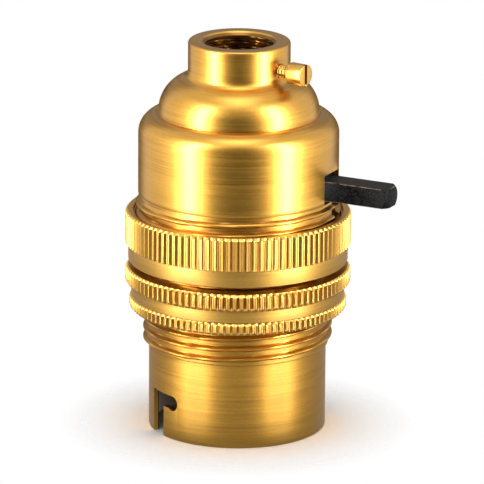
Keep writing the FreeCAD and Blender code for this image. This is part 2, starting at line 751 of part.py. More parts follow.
def make_plunger_set(side):
    """Plunger, its guide tube and its spring on one side."""
    sign = SIDES[side]
    x, y = f"{sign} * {PLUNGER_X}", f"{sign} * {PLUNGER_Y}"
    outside = cylinder(f"tube_outside_{side}", "tube_radius", "tube_top - block_bottom", "block_bottom", x,
                       y)
    bore = cylinder(f"tube_inside_{side}", "plunger_collar_radius + plunger_clearance",
                    f"{TUBE_CEILING} - block_bottom - tube_lip", "block_bottom + tube_lip", x, y)
    mouth = cylinder(f"tube_mouth_{side}", "plunger_radius + tube_lip_clearance", "tube_lip + 2",
                     "block_bottom - 1", x, y)
    finish(f"plunger_tube_{side}", cut(f"tube_drilled_{side}", outside, bore, mouth))
    nose = cone(f"nose_{side}", "plunger_radius - plunger_nose_round", "plunger_radius",
                "plunger_nose_round",
                "plunger_tip", x, y)
    shaft = cylinder(f"shaft_{side}", "plunger_radius", f"{STOP_HEIGHT} - plunger_tip - plunger_nose_round",
                     "plunger_tip + plunger_nose_round", x, y)
    collar = cylinder(f"collar_{side}", "plunger_collar_radius", "plunger_collar_height", STOP_HEIGHT, x, y)
    finish(f"plunger_{side}", fuse(f"plunger_solid_{side}", nose, shaft, collar))
    finish(f"plunger_spring_{side}", coil(side, x, y))


def coil(side, x, y):
    """Compression spring between the plunger's collar and the tube's ceiling."""
    path = doc.addObject("Part::Helix", f"coil_path_{side}")
    length = f"( {TUBE_CEILING} - {COLLAR_TOP} - spring_wire )"
    bind(path, Pitch=f"{length} / spring_turns", Height=length, Radius="spring_radius")
    path.SegmentLength = HELIX_SEGMENT
    doc.recompute()
    start = FreeCAD.Vector(value("spring_radius"), 0, 0)
    section = Part.Wire(Part.makeCircle(value("spring_wire / 2"), start, FreeCAD.Vector(0, 1, 0)))
    spring = doc.addObject("Part::Feature", f"coil_{side}")
    spring.Shape = Part.Wire(path.Shape.Edges).makePipeShell([section], True, True)
    base = FreeCAD.Vector(value(x), value(y), value(f"{COLLAR_TOP} + spring_wire / 2"))
    spring.Placement = FreeCAD.Placement(base, FreeCAD.Rotation())
    return spring


def make_terminal(side):
    """Pillar with a wire hole, and a stem that goes down through the mouldings to its contact."""
    sign = SIDES[side]
    x, y = f"{sign} * terminal_across", f"{sign} * ( 0 - terminal_out )"
    top = "( switch_body_top + terminal_height )"
    pillar = block(f"pillar_{side}", f"{x} - terminal_length / 2", f"{x} + terminal_length / 2",
                   f"{y} - terminal_width / 2", f"{y} + terminal_width / 2", "switch_body_top", top)
    foot = "tube_top" if side == "right" else FIXED_TOP
    stem = cylinder(f"stem_{side}", "stem_radius", f"switch_body_top - {foot} + 1", foot, x,
                    f"{sign} * ( 0 - stem_out )")
    hole_height = "( switch_body_top + wire_hole_height )"
    wire_hole = rod(f"wire_hole_{side}", "wire_hole_radius", "terminal_length + 2")
    aim(wire_hole, (0, 1, 0), "90", f"{x} - terminal_length / 2 - 1", y, hole_height)
    screw_hole = cylinder(f"clamp_hole_{side}", "terminal_screw_radius + screw_clearance",
                          f"{top} - {hole_height} + 1", hole_height, x, y)
    finish(f"terminal_{side}", cut(f"terminal_drilled_{side}", fuse(f"terminal_solid_{side}", pillar, stem),
                                   wire_hole, screw_hole))
    screw = slotted_screw(f"clamp_{side}", "terminal_screw_radius",
                          f"{top} - {hole_height} - wire_hole_radius / 2",
                          "terminal_head_radius", "terminal_head_height", x, y, top)
    finish(f"terminal_screw_{side}", screw)


def slotted_screw(name, radius, length, head_radius, head_height, x, y, seat):
    """Screw that points down, its head resting on the seat's height."""
    shank = cylinder(f"{name}_shank", radius, length, f"{seat} - ( {length} )", x, y)
    head = cylinder(f"{name}_head", head_radius, head_height, seat, x, y)
    head_top = f"{seat} + {head_height}"
    slot = block(f"{name}_slot", f"{x} - {head_radius} - 1", f"{x} + {head_radius} + 1",
                 f"{y} - screw_slot_width / 2", f"{y} + screw_slot_width / 2",
                 f"{head_top} - screw_slot_depth", f"{head_top} + 1")
    return cut(f"{name}_slotted", fuse(f"{name}_solid", shank, head), slot)


def make_body_screws():
    """Two screws that hold the mouldings together."""
    screws = [slotted_screw(f"body_screw_{side}", "body_screw_radius", "body_screw_length",
                            "body_head_radius",
                            "body_head_height", f"{sign} * body_screw_across", f"{sign} * body_screw_out",
                            "switch_body_top") for side, sign in SIDES.items()]
    finish("body_screws", fuse("body_screw_pair", *screws))


def make_earth_terminal():
    """Block on a stud from the dome's inner wall, with a wire hole and a clamp screw."""
    back = "( dome_foot_radius - cap_wall - earth_wall_gap )"
    centre = f"( {back} - earth_length / 2 )"
    top = "( earth_bottom + earth_height )"
    middle = "( earth_bottom + earth_height / 2 )"
    body = block("earth_body", f"{back} - earth_length", back, "0 - earth_width / 2", "earth_width / 2",
                 "earth_bottom", top)
    stud = rod("earth_stud", "earth_stud_radius", "earth_wall_gap + 1 - earth_stud_gap")
    aim(stud, (0, 1, 0), "90", f"{back} - 1", "0", middle)
    wire_hole = across("earth_wire_hole", "earth_hole_radius", "earth_width + 2", middle)
    wire_hole.Placement.Base.x = value(centre)
    screw_hole = cylinder("earth_screw_hole", "earth_screw_radius + screw_clearance",
                          f"{top} - {middle} + 1", middle,
                          centre)
    finish("earth_terminal", cut("earth_drilled", fuse("earth_solid", body, stud), wire_hole, screw_hole))
    screw = slotted_screw("earth_clamp", "earth_screw_radius", f"{top} - {middle} - earth_hole_radius / 2",
                          "earth_head_radius", "earth_head_height", centre, "0", top)
    finish("earth_screw", screw)


def check_and_export():
    """Stop on any failed object or invalid piece, then write one file for each piece."""
    doc.recompute()
    for item in doc.Objects:
        if "Invalid" in item.State or "Error" in item.State:
            raise RuntimeError(f"{item.Name} failed: {item.State}")
    for node, item in parts:
        if item.Shape.isNull() or not item.Shape.isValid():
            raise RuntimeError(f"{node} has no valid shape")
    os.makedirs("parts", exist_ok=True)
    for node, item in parts:
        item.Shape.exportStep(f"parts/{node}.step")
        solids = len(item.Shape.Solids)
        print(f"{node}: {solids} solid, {item.Shape.Volume:.1f} mm3")


make_skirt()
make_lower_shade_ring()
make_upper_shade_ring()
make_union_ring()
make_cap()
make_neck_lock_screw()
make_push_bar()
make_switch_body()
make_contact_block()
make_fixed_contact()
make_pivot_strip()
make_rocker()
make_rocker_pin()
make_snap_leaf()
for side in SIDES:
    make_plunger_set(side)
    make_terminal(side)
make_body_screws()
make_earth_terminal()
check_and_export()
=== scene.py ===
"""Looks of a brass bayonet lamp holder with a black push bar.

Sizes of pieces are in millimetres, as a turner would write them, and become metres when a mesh is made.
Sizes of the studio are in metres. Angles are in degrees where no word says otherwise.
Z is the holder's axis and points up to the neck. The push bar slides along X.
"""
import json
import math

import bmesh
import bpy
from mathutils import Matrix, Quaternion, Vector


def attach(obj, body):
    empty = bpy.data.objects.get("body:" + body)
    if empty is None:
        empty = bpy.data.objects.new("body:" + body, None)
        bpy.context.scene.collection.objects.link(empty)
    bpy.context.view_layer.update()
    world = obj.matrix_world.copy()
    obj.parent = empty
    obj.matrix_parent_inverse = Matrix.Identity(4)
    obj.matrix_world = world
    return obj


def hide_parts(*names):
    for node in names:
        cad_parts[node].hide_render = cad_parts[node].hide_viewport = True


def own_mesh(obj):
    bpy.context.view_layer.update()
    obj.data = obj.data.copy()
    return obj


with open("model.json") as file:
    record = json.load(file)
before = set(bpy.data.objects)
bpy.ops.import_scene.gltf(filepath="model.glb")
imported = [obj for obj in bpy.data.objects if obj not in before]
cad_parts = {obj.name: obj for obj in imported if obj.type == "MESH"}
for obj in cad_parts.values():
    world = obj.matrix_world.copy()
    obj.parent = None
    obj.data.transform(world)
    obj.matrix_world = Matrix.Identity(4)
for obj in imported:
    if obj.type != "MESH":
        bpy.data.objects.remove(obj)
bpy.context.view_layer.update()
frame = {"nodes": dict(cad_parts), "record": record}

MM = 0.001
COLUMNS = 240
CORNER_STEPS = 3
SMOOTH_UNDER = 32

# The collar's and the skirt's thread, and the teeth round each ring
COARSE_PITCH = 1.6
KNURL_TEETH = 100


# Half sections

def rounded(corners):
    """Corners of a closed outline as points; a corner's third entry rounds it by that radius."""
    points = []
    for index, corner in enumerate(corners):
        here = Vector(corner[:2])
        if len(corner) == 2:
            points.append(here)
            continue
        before = (Vector(corners[index - 1][:2]) - here).normalized()
        after = (Vector(corners[(index + 1) % len(corners)][:2]) - here).normalized()
        half = before.angle(after) / 2
        reach = corner[2] / math.tan(half)
        centre = here + (before + after).normalized() * corner[2] / math.sin(half)
        first = here + before * reach - centre
        turn = first.angle_signed(here + after * reach - centre)
        for step in range(CORNER_STEPS + 1):
            arm = first.copy()
            arm.rotate(Matrix.Rotation(-turn * step / CORNER_STEPS, 2))
            points.append(centre + arm)
    return points


def arc(centre, radius, start, end, steps):
    """Points of an arc from one angle to another."""
    angles = [math.radians(start + (end - start) * step / steps) for step in range(steps + 1)]
    return [(centre[0] + radius * math.cos(a), centre[1] + radius * math.sin(a)) for a in angles]


def slope(start, end, steps=4):
    """Points of a straight line, close enough together to show where a groove runs out of it."""
    return [tuple(a + (b - a) * step / steps for a, b in zip(start, end)) for step in range(steps + 1)]


def wall(radius, low, high, pitch):
    """Points up or down a straight wall, close enough together to carry a thread."""
    return slope((radius, low), (radius, high), max(1, round(abs(high - low) / pitch)))


# Meshes

def link_piece(name, form):
    """A new object from a bmesh in metres, as it is."""
    mesh = bpy.data.meshes.new(name)
    form.to_mesh(mesh)
    form.free()
    piece = bpy.data.objects.new(name, mesh)
    bpy.context.scene.collection.objects.link(piece)
    return piece


def soften(mesh):
    """Smooth a mesh, except over its sharp edges."""
    mesh.polygons.foreach_set("use_smooth", [True] * len(mesh.polygons))
    mesh.set_sharp_from_angle(angle=math.radians(SMOOTH_UNDER))


def as_object(name, form):
    """A new object from a bmesh in metres, its doubles merged and its faces smooth."""
    bmesh.ops.remove_doubles(form, verts=form.verts, dist=1e-7)
    piece = link_piece(name, form)
    soften(piece.data)
    return piece


def around_axis(radius, angle, height):
    """A point in metres, from an angle in radians round Z."""
    return Vector((radius * math.cos(angle), radius * math.sin(angle), height)) * MM


def turned(name, section, columns=COLUMNS):
    """A ring turned about Z from a closed half section that goes up its outer side."""
    form = bmesh.new()
    angles = [math.tau * column / columns for column in range(columns)]
    rings = [[form.verts.new(around_axis(radius, angle, height)) for angle in angles]
             for radius, height in section]
    for lower, upper in zip(rings, rings[1:] + rings[:1]):
        for column in range(columns):
            beside = (column + 1) % columns
            form.faces.new((lower[column], lower[beside], upper[beside], upper[column]))
    return as_object(name, form)


def prism(name, outline, depth):
    """A solid of an outline in the XY plane, drawn out along Z by a depth."""
    form = bmesh.new()
    bottom = [form.verts.new(Vector((x, y, 0)) * MM) for x, y in outline]
    top = [form.verts.new(Vector((x, y, depth)) * MM) for x, y in outline]
    form.faces.new(reversed(bottom))
    form.faces.new(top)
    for index in range(len(outline)):
        beside = (index + 1) % len(outline)
        form.faces.new((bottom[index], bottom[beside], top[beside], top[index]))
    return as_object(name, form)


def block(name, low, high):
    """A plain block between two corners."""
    form = bmesh.new()
    bmesh.ops.create_cube(form, size=1)
    foot = Vector(low) * MM
    top = Vector(high) * MM
    for vert in form.verts:
        vert.co = Vector([(foot[i] + top[i]) / 2 + vert.co[i] * (top[i] - foot[i]) for i in range(3)])
    return as_object(name, form)


def disc(name, radius, height):
    """A flat disc round the axis, its sizes in metres."""
    form = bmesh.new()
    bmesh.ops.create_circle(form, cap_ends=True, segments=96, radius=radius,
                            matrix=Matrix.Translation((0, 0, height)))
    return as_object(name, form)


def settle(piece, place):
    """Put a piece where a matrix says, with its place in its mesh."""
    piece.data.transform(place)
    return piece


def bake_modifiers(piece):
    """Turn a piece with its modifiers into a plain mesh."""
    graph = bpy.context.evaluated_depsgraph_get()
    mesh = bpy.data.meshes.new_from_object(piece.evaluated_get(graph))
    piece.modifiers.clear()
    piece.data = mesh
    soften(mesh)
    return piece


def combine(piece, tool, operation):
    """Join a tool to a piece, take it away or keep what both share, and throw the tool away."""
    step = piece.modifiers.new("combine", "BOOLEAN")
    step.operation = operation
    step.solver = "EXACT"
    step.object = tool
    bake_modifiers(piece)
    bpy.data.objects.remove(tool)


def carve(piece, *cutters):
    """Take cutters away from a piece, one after the other."""
    for cutter in cutters:
        combine(piece, cutter, "DIFFERENCE")


def ease_edges(piece, width, over=50, finish=-1):
    """Break a piece's edges over an angle by a width, and give them a finish by its place in the list."""
    step = piece.modifiers.new("ease", "BEVEL")
    step.width = width * MM
    step.segments = 2
    step.limit_method = "ANGLE"
    step.angle_limit = math.radians(over)
    step.material = finish
    return bake_modifiers(piece)


# Geometry trees

def new_tree(name, inputs):
    """An empty geometry tree with named inputs, each a name, a kind and a start value."""
    tree = bpy.data.node_groups.new(name, "GeometryNodeTree")
    tree.interface.new_socket("Geometry", in_out="INPUT", socket_type="NodeSocketGeometry")
    for label, kind, start in inputs:
        socket = tree.interface.new_socket(label, in_out="INPUT", socket_type=f"NodeSocket{kind}")
        if start is not None:
            socket.default_value = start
    tree.interface.new_socket("Geometry", in_out="OUTPUT", socket_type="NodeSocketGeometry")
    return tree


def grow(piece, tree, values):
    """Run a tree on a piece with values for its named inputs, and keep the plain mesh."""
    step = piece.modifiers.new(tree.name, "NODES")
    step.node_group = tree
    for item in tree.interface.items_tree:
        if item.in_out == "INPUT" and item.name in values:
            step[item.identifier] = values[item.name]
    bake_modifiers(piece)


class Wiring:
    """Short words for adding and joining the nodes of one tree."""

    def __init__(self, tree):
        self.tree = tree

    def node(self, kind, **settings):
        """A new node with its settings."""
        made = self.tree.nodes.new(kind)
        for key, setting in settings.items():
            setattr(made, key, setting)
        return made

    def feed(self, target, source):
        """Join a socket, or set its plain value."""
        if hasattr(source, "links"):
            self.tree.links.new(source, target)
        else:
            target.default_value = source

    def step(self, kind, inputs=None, output=0, **settings):
        """The output of a new node whose named inputs are fed."""
        made = self.node(kind, **settings)
        for label, source in (inputs or {}).items():
            self.feed(made.inputs[label], source)
        return made.outputs[output]

    def math(self, operation, *sources, **settings):
        """What one operation makes of its numbers."""
        made = self.node("ShaderNodeMath", operation=operation, **settings)
        for socket, source in zip(made.inputs, sources):
            self.feed(socket, source)
        return made.outputs[0]

    def product(self, first, *others):
        """The product of two or more numbers."""
        for other in others:
            first = self.math("MULTIPLY", first, other)
        return first

    def measure(self, place):
        """The three parts of a place, and its distance from the axis."""
        parts = self.node("ShaderNodeSeparateXYZ")
        self.feed(parts.inputs[0], place)
        x, y, z = parts.outputs
        squares = self.math("ADD", self.product(x, x), self.product(y, y))
        return x, y, z, self.math("SQRT", squares)

    def hand_over(self, geometry, finish):
        """Give the geometry its finish and end a geometry tree."""
        dressed = self.step("GeometryNodeSetMaterial", {"Geometry": geometry, "Material": finish})
        self.feed(self.node("NodeGroupOutput").inputs[0], dressed)


def knurl_tree():
    """One tooth repeated round the axis and welded into a ring."""
    tree = new_tree("knurled_ring", [("Teeth", "Int", KNURL_TEETH), ("Finish", "Material", None)])
    wiring = Wiring(tree)
    given = wiring.node("NodeGroupInput").outputs
    seats = wiring.step("GeometryNodePoints", {"Count": given["Teeth"]})
    index = wiring.step("GeometryNodeInputIndex")
    turn = wiring.math("DIVIDE", wiring.product(index, math.tau), given["Teeth"])
    heading = wiring.step("ShaderNodeCombineXYZ", {"Z": turn})
    copies = wiring.step("GeometryNodeInstanceOnPoints",
                         {"Points": seats, "Instance": given["Geometry"], "Rotation": heading})
    real = wiring.step("GeometryNodeRealizeInstances", {"Geometry": copies})
    ring = wiring.step("GeometryNodeMergeByDistance", {"Geometry": real, "Distance": 0.002 * MM})
    wiring.hand_over(ring, given["Finish"])
    return tree


def thread_tree():
    """A right-hand thread pressed outwards on the part of a wall between two heights and two radii.

    A cosine follows the turns. Its slope and lift, cut off at zero, leave steep ridges with plain
    grooves between them.
    """
    ridge_slope = -0.95
    ridge_lift = 0.1
    tree = new_tree("rolled_thread", [
        ("Pitch", "Float", COARSE_PITCH * MM), ("Depth", "Float", 0.6 * MM), ("Start", "Float", 0.0),
        ("End", "Float", 0.0), ("Run-out", "Float", 0.5 * MM), ("Least radius", "Float", 0.0),
        ("Greatest radius", "Float", 1.0), ("Phase", "Float", 0.0), ("Finish", "Material", None)])
    wiring = Wiring(tree)
    given = wiring.node("NodeGroupInput").outputs
    x, y, z, radius = wiring.measure(wiring.step("GeometryNodeInputPosition"))
    turns = wiring.math("DIVIDE", wiring.math("ARCTAN2", y, x), math.tau)
    climb = wiring.math("SUBTRACT", wiring.math("DIVIDE", z, given["Pitch"]), turns)
    phase = wiring.math("ADD", climb, given["Phase"])
    swing = wiring.math("COSINE", wiring.product(phase, math.tau))
    ridge = wiring.math("MULTIPLY_ADD", swing, ridge_slope, ridge_lift, use_clamp=True)
    fades = []
    for edge, sign in (("Start", 1), ("End", -1)):
        away = wiring.product(wiring.math("SUBTRACT", z, given[edge]), sign)
        fades.append(wiring.math("DIVIDE", away, given["Run-out"], use_clamp=True))
    inside = wiring.product(wiring.math("GREATER_THAN", radius, given["Least radius"]),
                            wiring.math("LESS_THAN", radius, given["Greatest radius"]))
    push = wiring.product(ridge, *fades, given["Depth"], inside)
    share = wiring.math("DIVIDE", push, radius)
    offset = wiring.step("ShaderNodeCombineXYZ",
                         {"X": wiring.product(x, share), "Y": wiring.product(y, share)})
    pressed = wiring.step("GeometryNodeSetPosition", {"Geometry": given["Geometry"], "Offset": offset})
    real = wiring.step("GeometryNodeRealizeInstances", {"Geometry": pressed})
    wiring.hand_over(real, given["Finish"])
    return tree


# Finishes

def paint(colour, share=1.0):
    """A colour with its alpha, darkened to a share."""
    return (*[part * share for part in colour], 1.0)


def new_material(name, **shader):
    """A material and its main shader, with values on the shader's own sockets."""
    material = bpy.data.materials.new(name)
    material.use_nodes = True
    main = material.node_tree.nodes["Principled BSDF"]
    for label, setting in shader.items():
        main.inputs[label.replace("_", " ")].default_value = setting
    return material, main


class Dye(Wiring):
    """Short words for the nodes of a material or the world."""

    def __init__(self, owner):
        super().__init__(owner.node_tree)

    def place(self):
        """Where a point of the piece is, in metres."""
        return self.step("ShaderNodeTexCoord", output="Object")

    def noise(self, vector, scale, detail=2.0, roughness=0.5):
        """A soft noise from 0 to 1."""
        return self.step("ShaderNodeTexNoise", {
            "Vector": vector, "Scale": scale, "Detail": detail, "Roughness": roughness}, output="Fac")

    def spread(self, source, low, high, lowest=0.0, highest=1.0):
        """A range of a number spread over another range."""
        return self.step("ShaderNodeMapRange", {
            "Value": source, "From Min": low, "From Max": high, "To Min": lowest, "To Max": highest})

    def blend(self, share, first, second, blend_type="MIX"):
        """One colour where a share is 0 and another where it is 1."""
        made = self.node("ShaderNodeMix", data_type="RGBA", blend_type=blend_type)
        for label, source in (("Factor", share), ("A", first), ("B", second)):
            self.feed(next(s for s in made.inputs if s.name == label and s.enabled), source)
        return next(s for s in made.outputs if s.enabled)

    def mix_shaders(self, share, first, second):
        """One shader where a share is 0 and another where it is 1."""
        made = self.node("ShaderNodeMixShader")
        for socket, source in zip(made.inputs, (share, first, second)):
            self.feed(socket, source)
        return made.outputs[0]

    def bump(self, height, strength, depth):
        """A normal that follows a height."""
        return self.step("ShaderNodeBump", {"Strength": strength, "Distance": depth * MM, "Height": height})


# Painted shade inside bores: each bore's reach from the axis, and the side of a height on which it lies
BORE_SHADE = {
    "skirt": (12.75, "LESS_THAN", 28.2),
    "neck": (5.5, "GREATER_THAN", 50.0),
    "cap": (14.25, "LESS_THAN", 47.5),
}


def bore_shade_mask(dye, bore, radius, z):
    """A mask of the walls inside a bore, where shade is painted."""
    reach, side, height = BORE_SHADE[bore]
    return dye.product(dye.math("LESS_THAN", radius, reach * MM), dye.math(side, z, height * MM))


def lathe_lines(dye, x, y, z, radius):
    """A coordinate that is slow round the axis and quick along the section, for brushed lines."""
    nearest = 0.5 * MM
    stretch = 2.6
    slant = 1.31
    lines_per_metre = 1700.0
    arm = dye.product(dye.math("MAXIMUM", radius, nearest), stretch)
    along = dye.product(dye.math("MULTIPLY_ADD", radius, slant, z), lines_per_metre)
    return dye.step("ShaderNodeCombineXYZ", {
        "X": dye.math("DIVIDE", x, arm), "Y": dye.math("DIVIDE", y, arm), "Z": along})


def brass(name, colour, recess_shade, roughness, brush, shaded_bores=None):
    """Lacquered brass, finely brushed round the axis and softly mottled, with painted shade darkening its
    recesses.

    Bores are named with the share of the recess shade colour to which painted shade darkens their walls.
    """
    material, main = new_material(name, Metallic=1.0, Anisotropic=0.35, Coat_Weight=0.4, Coat_Roughness=0.28)
    dye = Dye(material)
    place = dye.place()
    x, y, z, radius = dye.measure(place)
    lines = lathe_lines(dye, x, y, z, radius)
    fine = dye.noise(lines, scale=3.0, detail=3.0, roughness=0.6)
    broad = dye.noise(lines, scale=0.8)
    mottle = dye.noise(place, scale=180.0, detail=3.0)
    speck = dye.noise(place, scale=3600.0)
    streak = dye.math("ADD", dye.product(fine, 0.6), dye.product(broad, 0.2))
    streak = dye.math("MULTIPLY_ADD", speck, 0.2, streak)
    darkest = 1.0 - 0.14 * brush
    brightest = 1.0 + 0.10 * brush
    smoothest = roughness - 0.03 * brush
    roughest = roughness + 0.05 * brush
    shade = dye.spread(streak, 0.4, 0.6, darkest, brightest)
    # Painted shade: where ambient occlusion finds a recess, the colour turns to the recess shade colour.
    recess = 0.9 * MM
    openness = dye.step("ShaderNodeAmbientOcclusion", {"Distance": recess}, output="AO",
                        samples=8, only_local=True)
    tone = dye.blend(dye.spread(openness, 0.35, 0.95), paint(recess_shade), paint(colour))
    most_mottle = 0.12
    tone = dye.blend(dye.spread(mottle, 0.35, 0.65, 0.0, most_mottle), tone, paint(colour, 0.8))
    # Painted shade: the walls inside the named bores are darkened to a share of the recess shade colour.
    for bore, share in (shaded_bores or {}).items():
        tone = dye.blend(bore_shade_mask(dye, bore, radius, z), tone, paint(recess_shade, share))
    grey = dye.step("ShaderNodeCombineColor", {"Red": shade, "Green": shade, "Blue": shade})
    dye.feed(main.inputs["Base Color"], dye.blend(1.0, tone, grey, "MULTIPLY"))
    dye.feed(main.inputs["Roughness"], dye.spread(streak, 0.3, 0.7, smoothest, roughest))
    dye.feed(main.inputs["Tangent"], dye.step("ShaderNodeTangent", direction_type="RADIAL", axis="Z"))
    dye.feed(main.inputs["Normal"], dye.bump(fine, strength=0.22 * brush, depth=0.02))
    return material


def bar_plastic(name, rubbed_highlight_share):
    """Moulded black plastic with a fine grain, turned pale in patches by a share: a painted highlight, patchy
    like rubbing.
    """
    black = (0.003, 0.003, 0.003)
    faded = (0.008, 0.008, 0.008)
    dust = (0.036, 0.034, 0.033)
    rubbed_highlight = (0.30, 0.23, 0.16)
    material, main = new_material(name, Sheen_Weight=0.3, Sheen_Roughness=0.3,
                                  Sheen_Tint=(0.35, 0.34, 0.33, 1.0), Specular_IOR_Level=0.06)
    dye = Dye(material)
    place = dye.place()
    grain = dye.noise(place, scale=5200.0, detail=3.0, roughness=0.6)
    cloud = dye.noise(place, scale=420.0)
    # Painted highlight: pale patches, spread by a share.
    rubbed_highlight_mask = dye.spread(dye.noise(place, scale=1500.0, detail=3.0), 0.34, 0.60, 0.0, rubbed_highlight_share)
    tone = dye.blend(cloud, paint(black), paint(faded))
    tone = dye.blend(dye.spread(grain, 0.50, 0.66), tone, paint(dust))
    dye.feed(main.inputs["Base Color"], dye.blend(rubbed_highlight_mask, tone, paint(rubbed_highlight)))
    dye.feed(main.inputs["Roughness"], dye.spread(grain, 0.3, 0.7, 0.30, 0.50))
    dye.feed(main.inputs["Normal"], dye.bump(grain, strength=1.0, depth=0.05))
    return material


def moulding_white():
    """Pressed off-white plastic with faint flow marks."""
    material, main = new_material("moulding_white", Roughness=0.5)
    dye = Dye(material)
    place = dye.place()
    cloud = dye.noise(place, scale=260.0, detail=4.0)
    grain = dye.noise(place, scale=2400.0)
    tone = dye.blend(cloud, paint((0.62, 0.59, 0.50)), paint((0.74, 0.71, 0.62)))
    dye.feed(main.inputs["Base Color"], tone)
    dye.feed(main.inputs["Roughness"], dye.spread(grain, 0.3, 0.7, 0.42, 0.58))
    return material


def spring_steel():
    """Plain drawn steel, slightly uneven."""
    material, main = new_material("spring_steel", Metallic=1.0)
    dye = Dye(material)
    cloud = dye.noise(dye.place(), scale=900.0, detail=3.0)
    tone = dye.blend(cloud, paint((0.42, 0.42, 0.43)), paint((0.60, 0.60, 0.60)))
    dye.feed(main.inputs["Base Color"], tone)
    dye.feed(main.inputs["Roughness"], dye.spread(cloud, 0.3, 0.7, 0.24, 0.36))
    return material


# Painted shade colour, mixed into the recesses of the shell and the skirt.
SHELL_RECESS_SHADE = (0.34, 0.15, 0.018)
# The bore shares in these calls darken the bore walls with painted shade.
SKIRT_BRASS = brass("skirt_brass", (0.64, 0.33, 0.046), SHELL_RECESS_SHADE, 0.32, 0.85, {"skirt": 0.25})
CAP_BRASS = brass("cap_brass", (0.61, 0.315, 0.044), SHELL_RECESS_SHADE, 0.31, 0.85, {"cap": 0.05, "neck": 0.6})
CUT_BRASS = brass("cut_brass", (0.63, 0.35, 0.066), (0.31, 0.135, 0.016), 0.36, 0.6)
CONTACT_BRASS = brass("contact_brass", (0.82, 0.53, 0.18), (0.46, 0.20, 0.03), 0.24, 0.3)
BAR_BLACK = bar_plastic("bar_black", 0.0)
BAR_RUBBED_HIGHLIGHT = bar_plastic("bar_rubbed_edge_highlight", 1.0)
MOULDING_WHITE = moulding_white()
SPRING_STEEL = spring_steel()
KNURLS = knurl_tree()
THREADS = thread_tree()


# Pieces

SKIRT_RADIUS = 13.4

# The bar's axis, beside the holder's middle and above the rim
BAR_LINE = 1.2
BAR_HEIGHT = 38.5

# The cap's windows, as wide to each side of the bar's axis as the half
WINDOW_HALF = 2.5
WINDOW_FOOT = 36.35
WINDOW_TOP = 41.0


def dress(piece, node, body, slot, *materials):
    """Give a piece its finish, hide the CAD piece that it replaces, and attach it to the body it moves with.
    """
    mesh = piece.data
    kept = [min(polygon.material_index, len(materials) - 1) for polygon in mesh.polygons]
    mesh.materials.clear()
    for material in materials:
        mesh.materials.append(material)
    mesh.polygons.foreach_set("material_index", kept)
    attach(piece, body)
    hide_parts(node)


def roll_thread(piece, finish, pitch, depth, heights, radii, run_out, phase=0.0):
    """Press a thread on a piece's wall between two heights and two radii."""
    grow(piece, THREADS, {
        "Pitch": pitch * MM, "Depth": depth * MM, "Start": heights[0] * MM, "End": heights[1] * MM,
        "Run-out": run_out * MM, "Least radius": radii[0] * MM, "Greatest radius": radii[1] * MM,
        "Phase": phase, "Finish": finish})


def bayonet_punch(side):
    """Outline of one bayonet slot, drawn out along a radius: an entry, a ledge and a round seat."""
    sweep = 15.3
    heading = -125.5
    half_entry = 1.55
    offset = SKIRT_RADIUS * math.sin(math.radians(sweep / 2))
    below_rim = -1.0
    reach = 16.0
    seat = 1.15
    floor = 4.5
    top = 6.8
    hump = 0.3
    lip = math.sqrt(seat ** 2 - (seat - hump) ** 2)
    start = math.degrees(math.atan2(hump - seat, -lip)) + 360
    left = -offset - half_entry
    right = half_entry - offset
    outline = [(left, below_rim), (right, below_rim), (right, floor + hump)]
    outline += arc((offset, floor + seat), seat, start, 90 + 360, 14)
    outline.append((left, top))
    punch = prism("bayonet_punch", outline, reach)
    facing_out = Quaternion(Vector((1, 1, 1)), math.radians(120)).to_matrix().to_4x4()
    return settle(punch, Matrix.Rotation(math.radians(heading + sweep / 2 + side), 4, "Z") @ facing_out)


def make_skirt():
    """The sleeve, with the shade rings' thread, a flange on top and two bayonet slots."""
    bore = 12.6
    root = 13.7
    flange = 15.2
    top = 28.0
    section = rounded([(bore, 0.0, 0.12), (SKIRT_RADIUS, 0.0, 0.25), (SKIRT_RADIUS, 12.98)])
    section.append((13.66, 13.05))
    section += wall(root, 13.15, 27.15, 0.1)
    section += rounded([(root, 27.2), (flange, 27.2, 0.1), (flange, top, 0.1), (bore, top)])[1:]
    skirt = turned("skirt_shell", section)
    roll_thread(skirt, SKIRT_BRASS, COARSE_PITCH, depth=0.6, heights=(13.1, 27.1), radii=(13.5, 14.0),
                run_out=0.5, phase=-0.49)
    carve(skirt, bayonet_punch(0), bayonet_punch(180))
    dress(skirt, "skirt", "holder", "satin_brass", SKIRT_BRASS)


def tooth(name, section, crest, depth):
    """One tooth of a knurled ring: the half section swept over one pitch, cut back in the grooves."""
    half_pitch = math.pi / KNURL_TEETH
    flank = [(0.06, 1.0), (0.22, 0.94), (0.84, 0.05), (1.0, 0.0)]
    form = bmesh.new()
    strips = []
    for share, reach in [(-share, reach) for share, reach in reversed(flank)] + flank:
        limit = crest - depth * (1 - reach)
        angle = half_pitch * share
        strips.append([form.verts.new(around_axis(min(radius, limit), angle, height))
                       for radius, height in section])
    for left, right in zip(strips, strips[1:]):
        for index in range(len(section)):
            above = (index + 1) % len(section)
            form.faces.new((left[index], right[index], right[above], left[above]))
    return link_piece(name, form)


def make_ring(node, section, crest, depth):
    """A knurled ring from its half section, the radius of its teeth and the depth of their grooves."""
    ring = tooth(f"{node}_turned", section, crest, depth)
    grow(ring, KNURLS, {"Teeth": KNURL_TEETH, "Finish": CUT_BRASS})
    dress(ring, node, node, "satin_brass", CUT_BRASS)


def make_lower_shade_ring():
    """A thin ring, knurled from edge to edge."""
    bore = 14.4
    crest = 16.4
    make_ring("lower_shade_ring", rounded([
        (bore, 18.55), *slope((16.0, 18.55), (crest, 18.95)),
        *slope((crest, 19.95), (16.0, 20.35)), (bore, 20.35)]), crest, 0.42)


